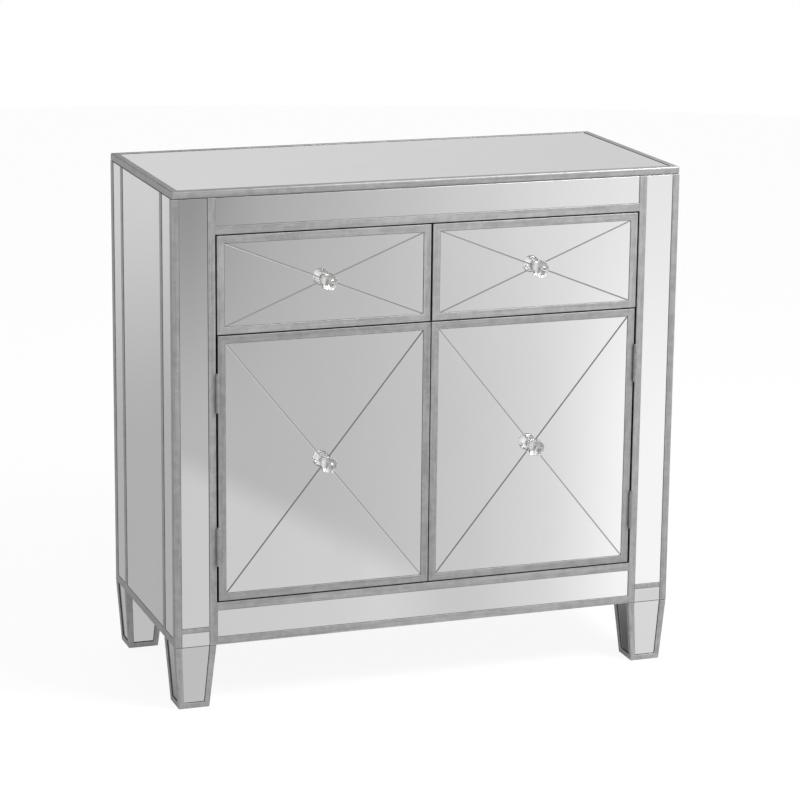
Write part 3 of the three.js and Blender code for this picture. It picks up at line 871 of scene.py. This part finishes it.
def make_strike_plate(side):
    """The steel plate on a door that the catch pulls at, with its screw."""
    catch_low, catch_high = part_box("door_catch")
    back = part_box("door_" + side)[1].y
    near, far = 4.5 * MM, 19.5 * MM
    x_low, x_high = (-far, -near) if side == "left" else (near, far)
    low = Vector((x_low, back, catch_low.z - 2 * MM))
    high = Vector((x_high, back + 1.1 * MM, catch_high.z - 1 * MM))
    mesh = bmesh.new()
    add_box(mesh, low, high)
    body = "door_" + side
    make_piece(f"strike_plate_{side}", mesh, [STEEL], body, 0.4 * MM)
    origin = Vector(((low.x + high.x) / 2, high.y, (low.z + high.z) / 2))
    screw_head(f"strike_screw_{side}", origin, (0, 1, 0), body, 2.6 * MM, 0.9 * MM)


def make_shelf_pins(side):
    """The two collared pins under one end of the shelf."""
    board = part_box("side_board_" + side)
    wall, inward = (board[1].x, 1) if side == "left" else (board[0].x, -1)
    shelf_low, shelf_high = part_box("shelf")
    from_end = 30 * MM
    radius, collar, tip = 2.5 * MM, 4 * MM, 9 * MM
    profile = [(0, 0), (collar, 0), (collar, 0.5 * MM), (radius, 0.7 * MM), (radius, tip - 1 * MM)]
    profile += [(radius - 0.7 * MM, tip), (0, tip)]
    for end, y in (("front", shelf_low.y + from_end), ("back", shelf_high.y - from_end)):
        mesh = bmesh.new()
        origin = Vector((wall, y, shelf_low.z - radius - 0.1 * MM))
        add_turned(mesh, profile, 24, facing(origin, (inward, 0, 0)))
        make_piece(f"shelf_pin_{end}_{side}", mesh, [STEEL], "case", 0, 40)


def make_catch_screw(side):
    """The screw at one end of the catch, seen from below."""
    low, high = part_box("door_catch")
    from_end = 5 * MM
    x = low.x + from_end if side == "left" else high.x - from_end
    origin = Vector((x, (low.y + high.y) / 2, low.z))
    screw_head(f"catch_screw_{side}", origin, (0, 0, -1), "case", 2.6 * MM, 0.9 * MM)


def make_fastenings():
    """Knob screws behind the fronts, strike plates on the doors, shelf pins and catch screws."""
    for side in SIDES:
        make_knob_screws(side)
        make_strike_plate(side)
        make_shelf_pins(side)
        make_catch_screw(side)


# ---------------------------------------------------------------- stage, light and camera


def make_floor():
    """A plain pale floor. The mirrors do not see it: they see the studio's fitted tones. Only its
    middle catches light and shade."""
    bpy.ops.mesh.primitive_circle_add(vertices=96, radius=6, fill_type="NGON", location=(0, 0, 0))
    floor = bpy.context.object
    floor.name = "floor"
    floor.visible_glossy = False
    material, tree, shader, here = new_material("floor", Roughness=0.9)
    speckle = noise(tree, here, 30, 3, 0.6)
    feed(tree, shader.inputs["Base Color"], mix(tree, speckle, grey(0.78), grey(0.82)))
    distance = node(tree, "VectorMath", {"operation": "LENGTH"})
    feed(tree, distance.inputs[0], here)
    middle_ends, studio_starts = 0.52, 0.75
    fade = ramp(tree, distance.outputs["Value"], middle_ends, studio_starts)
    real = node(tree, "MixShader", Fac=fade)
    feed(tree, real.inputs[1], shader.outputs[0])
    feed(tree, real.inputs[2], node(tree, "BsdfTransparent").outputs[0])
    # What is seen of it is nearly white, with only a faint shadow under the legs.
    glow = node(tree, "Emission", Color=grey(1), Strength=0.90)
    faint = node(tree, "BsdfDiffuse", Color=mix(tree, speckle, grey(0.125), grey(0.135)))
    white = node(tree, "AddShader")
    feed(tree, white.inputs[0], glow.outputs[0])
    feed(tree, white.inputs[1], faint.outputs[0])
    seen = node(tree, "MixShader", Fac=node(tree, "LightPath").outputs["Is Camera Ray"])
    feed(tree, seen.inputs[1], real.outputs[0])
    feed(tree, seen.inputs[2], white.outputs[0])
    feed(tree, tree.nodes["Material Output"].inputs["Surface"], seen.outputs[0])
    floor.data.materials.append(material)


# How bright the studio is all round, as (degrees to the right of straight in front, brightness).
# UPPER_WALLS holds down to a little under the horizon, and LOWER_WALLS from there down. This is not
# plain studio light: the numbers were set from the brightness that the photograph's mirrors call
# for in each direction, so that they match it from its own side. Elsewhere they are a guess.
UPPER_WALLS = (
    (-180, 0.50),
    (-166.5, 0.69),
    (-164, 0.68),
    (-152, 0.60),
    (-141, 0.72),
    (-129, 0.92),
    (-116, 0.66),
    (-73, 0.57),
    (-56, 0.90),
    (-46, 0.80),
    (-37, 0.55),
    (-20, 0.55),
    (-7, 0.72),
    (6, 0.40),
    (10, 0.30),
    (15.5, 0.32),
    (16.4, 0.435),
    (17.7, 0.51),
    (20.1, 0.64),
    (22.5, 0.81),
    (24, 0.90),
    (60, 0.95),
    (86, 0.92),
    (98, 0.66),
    (104, 0.25),
    (114, 0.25),
    (122, 0.75),
    (140, 0.95),
    (154, 0.66),
    (165.5, 0.71),
    (180, 0.50),
)
LOWER_WALLS = (
    (-180, 0.46),
    (-164, 0.47),
    (-120, 0.55),
    (-73, 0.57),
    (-54, 0.88),
    (-44, 0.70),
    (-34, 0.50),
    (10, 0.50),
    (17.3, 0.54),
    (18.8, 0.585),
    (20.6, 0.64),
    (21.6, 0.70),
    (22.9, 0.82),
    (23.8, 1.03),
    (26, 1.05),
    (60, 0.90),
    (98, 0.70),
    (104, 0.25),
    (114, 0.25),
    (124, 0.85),
    (134, 0.75),
    (144, 0.55),
    (180, 0.46),
)


def round_walls(tree, turn, tones):
    """Brightness at each turn, smooth from one listed tone to the next."""
    made = node(tree, "ValToRGB", Fac=calc(tree, "DIVIDE", calc(tree, "ADD", turn, 180), 360))
    stops = made.color_ramp.elements
    while len(stops) < len(tones):
        stops.new(1.0)
    for stop, (angle, tone) in zip(stops, tones):
        stop.position = (angle + 180) / 360
        stop.color = grey(tone)
    return made.outputs["Color"]


def add_light(tree, tones, extra):
    """Adds a plain amount of white light to tones."""
    white = node(tree, "CombineColor", Red=extra, Green=extra, Blue=extra)
    return mix(tree, 1.0, tones, white.outputs["Color"], blend="ADD")


def add_floor_tones(tree, turn, rise, walls):
    """The studio's floor as the mirrors see it, from its far end to the cabinet. turn and rise are
    in degrees. Its narrow patches are fitted to single mirrors of the photograph."""
    # The far end of the floor is lighter, under a line that falls to the right.
    from_corner = calc(tree, "SUBTRACT", turn, 16)
    floor_line = calc(tree, "ADD", calc(tree, "MULTIPLY", from_corner, -0.45), -15.6)
    far_end = ramp(tree, calc(tree, "SUBTRACT", rise, floor_line), 0.4, -0.4, 0, 0.14)
    far_end = calc(tree, "MULTIPLY", far_end, ramp(tree, turn, 19, 21, 1, 0))
    far_end = calc(tree, "MULTIPLY", far_end, ramp(tree, turn, -10, 12))
    walls = add_light(tree, walls, far_end)
    # The floor close by is a little duller.
    near = calc(tree, "MULTIPLY", ramp(tree, rise, -19.5, -24, 0, 0.14), ramp(tree, turn, -30, 10))
    near = calc(tree, "MULTIPLY", near, ramp(tree, turn, 30, 60, 1, 0))
    walls = mix(tree, near, walls, grey(0))
    # So is the floor past the cabinet's right end.
    dull = ramp(tree, rise, -18.5, -24, 0.31, 0.14)
    dull = calc(tree, "MULTIPLY", ramp(tree, rise, -17.43, -17.5), dull)
    dull = calc(tree, "MULTIPLY", dull, ramp(tree, turn, 24.1, 24.3))
    dull = calc(tree, "MULTIPLY", dull, ramp(tree, turn, 27, 32, 1, 0))
    return mix(tree, dull, walls, grey(0))


def studio_tones(tree, turn, rise):
    """What the mirrors see of the studio, in every direction. turn and rise are in degrees."""
    upper, lower = round_walls(tree, turn, UPPER_WALLS), round_walls(tree, turn, LOWER_WALLS)
    walls = mix(tree, ramp(tree, rise, -9.5, -15), upper, lower)
    walls = add_floor_tones(tree, turn, rise, walls)
    # The wall to the right gets dimmer higher up.
    dimmer = calc(tree, "MULTIPLY", ramp(tree, rise, 6, 16, 0, 0.22), ramp(tree, turn, 26, 34))
    dimmer = calc(tree, "MULTIPLY", dimmer, ramp(tree, turn, 90, 110, 1, 0))
    walls = mix(tree, dimmer, walls, grey(0))
    # Behind the cabinet and to its left lies the shade that it throws on the floor.
    shaded = calc(tree, "MULTIPLY", ramp(tree, rise, -19.5, -23), ramp(tree, turn, -145, -155))
    shaded = calc(tree, "MULTIPLY", shaded, ramp(tree, rise, -31.5, -36, 1, 0))
    walls = mix(tree, shaded, walls, grey(0.10))
    # It is dim straight down and a soft grey overhead.
    below = mix(tree, ramp(tree, rise, -28, -55), walls, grey(0.26))
    around = mix(tree, ramp(tree, rise, 15, 50), below, grey(0.62))
    # Nothing lights the wall behind the cabinet above the height of its top.
    behind = calc(tree, "MAXIMUM", ramp(tree, turn, 155, 166), ramp(tree, turn, -145, -158))
    unlit = calc(tree, "MULTIPLY", behind, ramp(tree, rise, 11.5, 17, 0, 0.9))
    return mix(tree, unlit, around, grey(0.12))


def make_world():
    """The studio's light, fitted to the photograph: brightest to the right, dim in front and to the
    left, dark underneath. The camera itself sees plain white, which the mirrors do not."""
    world = bpy.data.worlds.new("studio")
    bpy.context.scene.world = world
    world.use_nodes = True
    tree = world.node_tree
    tree.nodes.clear()
    toward = node(tree, "TexCoord").outputs["Generated"]
    parts = node(tree, "SeparateXYZ", Vector=toward).outputs
    degrees = 180 / math.pi
    ahead = calc(tree, "MULTIPLY", parts[1], -1)
    turn = calc(tree, "MULTIPLY", calc(tree, "ARCTAN2", parts[0], ahead), degrees)
    rise = calc(tree, "MULTIPLY", calc(tree, "ARCSINE", parts[2]), degrees)
    plain = node(tree, "Background", Color=grey(1), Strength=1.0)
    lit = node(tree, "Background", Color=studio_tones(tree, turn, rise), Strength=1.0)
    seen = node(tree, "MixShader", Fac=node(tree, "LightPath").outputs["Is Camera Ray"])
    feed(tree, seen.inputs[1], lit.outputs[0])
    feed(tree, seen.inputs[2], plain.outputs[0])
    out = node(tree, "OutputWorld")
    feed(tree, out.inputs["Surface"], seen.outputs[0])


def make_lights():
    """One softbox, high up in front and to the right, for the highlights on crystal and edges."""
    light = bpy.data.lights.new("softbox", "AREA")
    light.shape = "RECTANGLE"
    light.size, light.size_y = 0.9, 0.7
    light.energy = 42
    box = bpy.data.objects.new("softbox", light)
    box.location = (1.0, -1.35, 1.95)
    box.rotation_euler = (Vector((0, 0, 0.5)) - box.location).to_track_quat("-Z", "Y").to_euler()
    bpy.context.scene.collection.objects.link(box)


def make_camera():
    """The photograph's viewpoint: from the front left, a little above the cabinet's top."""
    low, high = cad_box
    orbit, height, distance = math.radians(-19.42), math.radians(14.26), 4.764
    look_right, look_down, roll = math.radians(19.54), math.radians(14.04), math.radians(0.59)
    camera = bpy.data.objects.new("camera", bpy.data.cameras.new("camera"))
    camera.data.lens = 135.1
    camera.data.sensor_width = 36
    level = Vector((math.sin(orbit), -math.cos(orbit), 0))
    toward_camera = level * math.cos(height) + Vector((0, 0, math.sin(height)))
    camera.location = (low + high) / 2 + toward_camera * distance
    turn = Euler((0, 0, -look_right)).to_matrix()
    tilt = Euler((math.pi / 2 - look_down, 0, 0)).to_matrix()
    camera.rotation_euler = (turn @ tilt @ Euler((0, 0, roll)).to_matrix()).to_euler()
    bpy.context.scene.collection.objects.link(camera)
    bpy.context.scene.camera = camera


make_camera()
make_world()
make_lights()
make_floor()
dress_mirrors()
dress_case()
dress_drawers_and_doors()
dress_hinges()
make_legs()
make_knobs()
make_hinge_details()
make_fastenings()
make_back_nails()
bpy.context.scene.view_settings.view_transform = "Standard"
